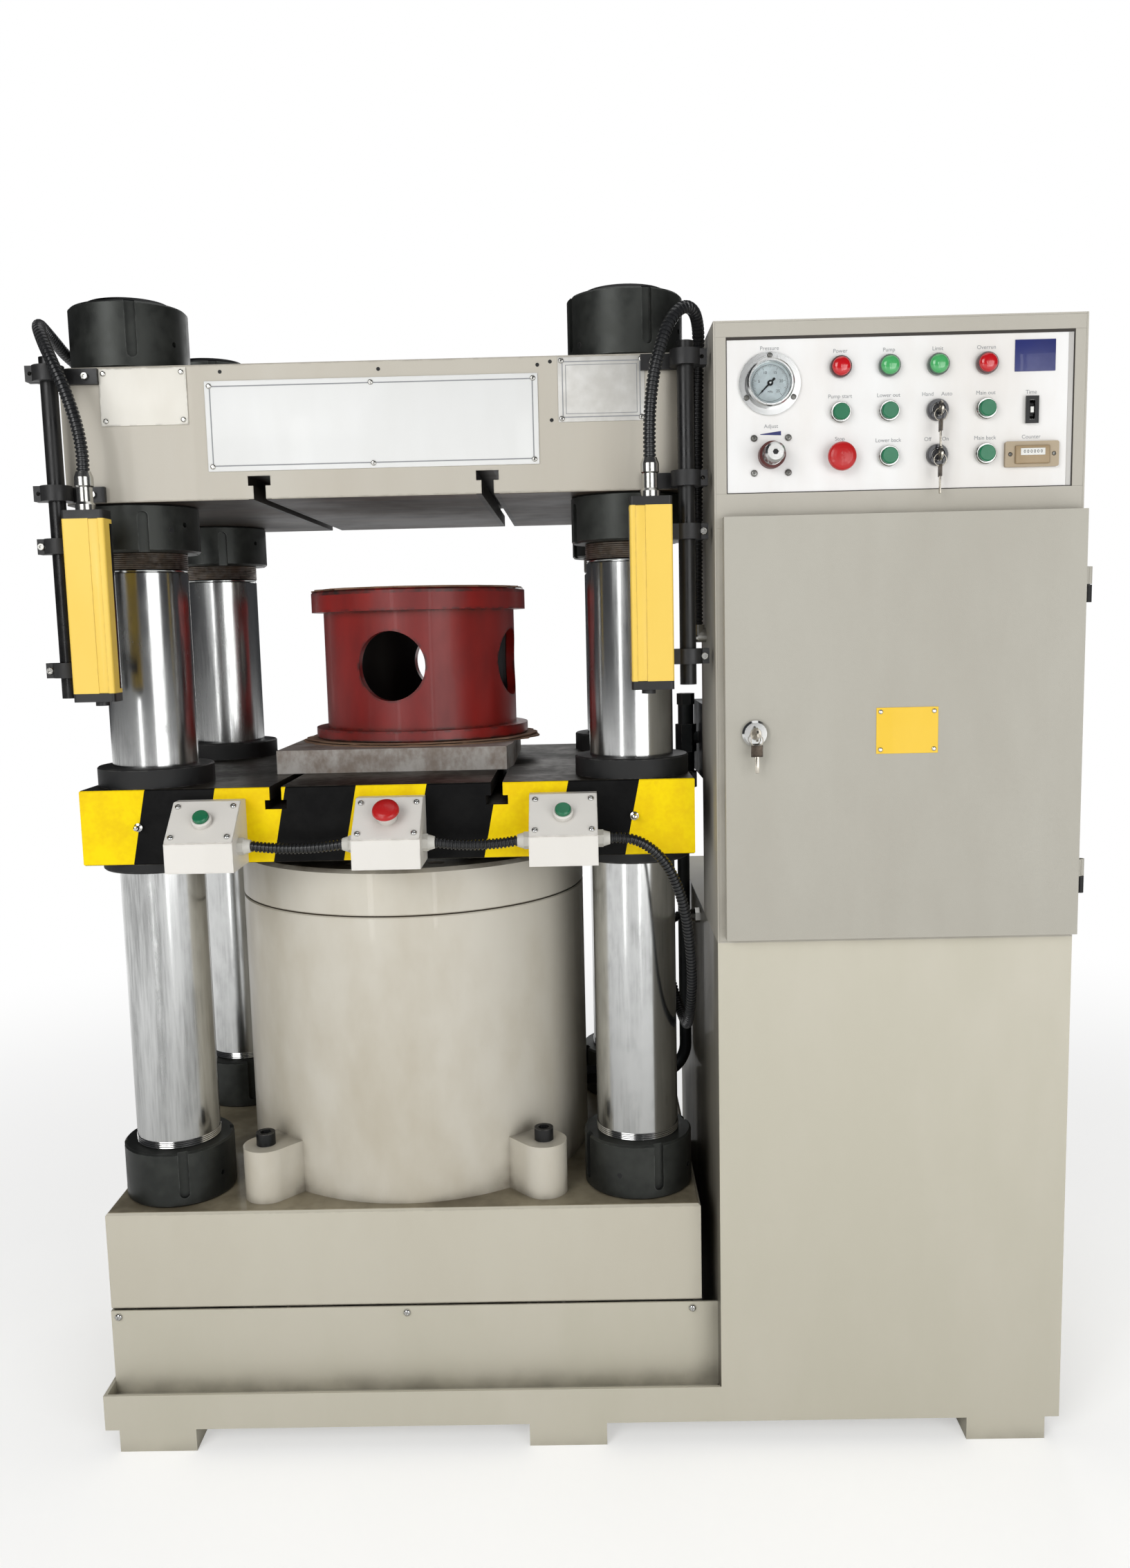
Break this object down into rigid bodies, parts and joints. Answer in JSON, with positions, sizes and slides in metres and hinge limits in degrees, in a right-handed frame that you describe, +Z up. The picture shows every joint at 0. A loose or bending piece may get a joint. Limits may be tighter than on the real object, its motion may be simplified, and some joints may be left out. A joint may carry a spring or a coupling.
{
  "type": "hydraulic press",
  "caption": "Four-column upstroking hydraulic press: a table guided on chromed columns rises towards a fixed slotted crown; a control cabinet stands on the power housing at its right.",
  "frame": {"origin": "on the floor under the middle of the machine's box, loose conduits left out", "axes": "+Z up; the operator stands at -Y; +X runs to the cabinet's side"},
  "size_m": [1.5039, 0.764, 1.755],
  "materials": {
    "frame_paint": "semi-gloss beige enamel, lightly worn",
    "housing_paint": "semi-gloss beige enamel with weld seams",
    "cabinet_paint": "textured grey powder coat",
    "column_chrome": "hard-chromed and polished",
    "nut_black": "black oxide with worn edges",
    "bolt_black": "black oxide",
    "table_steel": "machined steel top; hazard stripes on the front face",
    "plate_steel": "flame-cut plate, scratched",
    "ram_steel": "hard-chromed",
    "bush_black": "blackened cast iron",
    "panel_white": "brushed pale panel",
    "bezel_chrome": "bright plated rings",
    "lens_red": "ribbed translucent lens",
    "lens_green": "ribbed translucent lens",
    "gauge_steel": "polished steel case and flange",
    "gauge_glass": "clear flat glass",
    "needle_black": "flat black",
    "counter_grey": "pale grey case with a dark window",
    "hinge_black": "black",
    "switchgear": "pale switchgear on a plated sheet",
    "unit_paint": "grey-blue machine enamel",
    "valve_dark": "dark phosphated steel",
    "pipe_dark": "dark phosphated steel",
    "pole_black": "satin black",
    "curtain_black": "satin black",
    "curtain_yellow": "semi-gloss safety yellow",
    "gland_metal": "nickel-plated",
    "conduit_black": "corrugated black conduit",
    "box_white": "off-white enamel",
    "gland_white": "off-white plastic",
    "board": "torn fibre board",
    "spacer_red": "red paint, chipped to bare steel",
    "door_paint": "textured grey powder coat",
    "lock_chrome": "bright plated",
    "key_steel": "nickel-plated keys",
    "button_green": "moulded green cap",
    "stop_red": "moulded red mushroom cap",
    "knob_metal": "knurled and capped",
    "wheel_black": "moulded black"
  },
  "bodies": {
    "frame": {"base_frame": "housing_paint", "cover_panels": "housing_paint", "base_block": "frame_paint", "column_front_left": "column_chrome", "column_front_right": "column_chrome", "column_rear_left": "column_chrome", "column_rear_right": "column_chrome", "crown_nuts": "nut_black", "base_nuts": "nut_black", "crown": "frame_paint", "cylinder_body": "frame_paint", "cylinder_gland": "frame_paint", "cylinder_bolts": "bolt_black", "cabinet_body": "cabinet_paint", "control_panel": "panel_white", "panel_bezels": "bezel_chrome", "pilot_lights_red": "lens_red", "pilot_lights_green": "lens_green", "gauge_case": "gauge_steel", "gauge_lens": "gauge_glass", "counter": "counter_grey", "door_hinges": "hinge_black", "electrical_plate": "switchgear", "power_unit": "unit_paint", "valve_block": "valve_dark", "hydraulic_pipe": "pipe_dark", "curtain_poles": "pole_black", "curtain_brackets": "curtain_black", "light_curtains": "curtain_yellow", "conduit_glands": "gland_metal", "conduit_left": "conduit_black", "conduit_right": "conduit_black", "control_conduit": "conduit_black"},
    "table": {"table": "table_steel", "ram": "ram_steel", "guide_bushes": "bush_black", "control_boxes": "box_white", "box_glands": "gland_white", "conduit_links": "conduit_black", "load_plate": "plate_steel", "packing_board": "board", "spacer": "spacer_red"},
    "door": {"door": "door_paint", "door_lock": "lock_chrome"},
    "door_key_body": {"door_key": "key_steel"},
    "pump_button_body": {"pump_button": "button_green"},
    "lower_out_button_body": {"lower_out_button": "button_green"},
    "lower_back_button_body": {"lower_back_button": "button_green"},
    "main_out_button_body": {"main_out_button": "button_green"},
    "main_back_button_body": {"main_back_button": "button_green"},
    "panel_stop_body": {"panel_stop": "stop_red"},
    "two_hand_left_body": {"two_hand_left": "button_green"},
    "two_hand_right_body": {"two_hand_right": "button_green"},
    "table_stop_body": {"table_stop": "stop_red"},
    "mode_key_body": {"mode_key": "key_steel"},
    "ejector_key_body": {"ejector_key": "key_steel"},
    "pressure_knob_body": {"pressure_knob": "knob_metal"},
    "time_wheel_body": {"time_wheel": "wheel_black"},
    "gauge_needle_body": {"gauge_needle": "needle_black"}
  },
  "joints": [
    {"name": "table_slide", "type": "slide", "parent": "frame", "child": "table", "axis": [0, 0, 1], "range_m": [0, 0.12]},
    {"name": "door_swing", "type": "hinge", "parent": "frame", "child": "door", "pos_m": [0.7465, -0.3415, 1.106], "axis": [0, 0, 1], "range_deg": [0, 110]},
    {"name": "door_key_turn", "type": "hinge", "parent": "door", "child": "door_key_body", "pos_m": [0.2745, -0.352, 1.106], "axis": [0, 1, 0], "range_deg": [0, 90]},
    {"name": "pump_press", "type": "slide", "parent": "frame", "child": "pump_button_body", "axis": [0, 1, 0], "range_m": [0, 0.004], "stiffness_N_per_m": 400, "springref_m": -0.005},
    {"name": "lower_out_press", "type": "slide", "parent": "frame", "child": "lower_out_button_body", "axis": [0, 1, 0], "range_m": [0, 0.004], "stiffness_N_per_m": 400, "springref_m": -0.005},
    {"name": "main_out_press", "type": "slide", "parent": "frame", "child": "main_out_button_body", "axis": [0, 1, 0], "range_m": [0, 0.004], "stiffness_N_per_m": 400, "springref_m": -0.005},
    {"name": "panel_stop_press", "type": "slide", "parent": "frame", "child": "panel_stop_body", "axis": [0, 1, 0], "range_m": [0, 0.004], "stiffness_N_per_m": 400, "springref_m": -0.005},
    {"name": "lower_back_press", "type": "slide", "parent": "frame", "child": "lower_back_button_body", "axis": [0, 1, 0], "range_m": [0, 0.004], "stiffness_N_per_m": 400, "springref_m": -0.005},
    {"name": "main_back_press", "type": "slide", "parent": "frame", "child": "main_back_button_body", "axis": [0, 1, 0], "range_m": [0, 0.004], "stiffness_N_per_m": 400, "springref_m": -0.005},
    {"name": "two_hand_left_press", "type": "slide", "parent": "table", "child": "two_hand_left_body", "axis": [0, 0.669, -0.7433], "range_m": [0, 0.004], "stiffness_N_per_m": 400, "springref_m": -0.005},
    {"name": "two_hand_right_press", "type": "slide", "parent": "table", "child": "two_hand_right_body", "axis": [0, 0.669, -0.7433], "range_m": [0, 0.004], "stiffness_N_per_m": 400, "springref_m": -0.005},
    {"name": "table_stop_press", "type": "slide", "parent": "table", "child": "table_stop_body", "axis": [0, 0.669, -0.7433], "range_m": [0, 0.004], "stiffness_N_per_m": 400, "springref_m": -0.005},
    {"name": "mode_key_turn", "type": "hinge", "parent": "frame", "child": "mode_key_body", "pos_m": [0.5339, -0.3285, 1.5525], "axis": [0, 1, 0], "range_deg": [0, 90]},
    {"name": "ejector_key_turn", "type": "hinge", "parent": "frame", "child": "ejector_key_body", "pos_m": [0.5339, -0.3285, 1.491], "axis": [0, 1, 0], "range_deg": [0, 90]},
    {"name": "pressure_knob_turn", "type": "hinge", "parent": "frame", "child": "pressure_knob_body", "pos_m": [0.302, -0.3285, 1.496], "axis": [0, 1, 0], "range_deg": [-180, 180]},
    {"name": "time_wheel_turn", "type": "hinge", "parent": "frame", "child": "time_wheel_body", "pos_m": [0.665, -0.3215, 1.5495], "axis": [1, 0, 0], "continuous": true},
    {"name": "gauge_needle_turn", "type": "hinge", "parent": "frame", "child": "gauge_needle_body", "pos_m": [0.3, -0.3285, 1.594], "axis": [0, 1, 0], "range_deg": [0, 270], "stiffness_Nm_per_rad": 0.002, "springref_deg": -17.19}
  ]
}
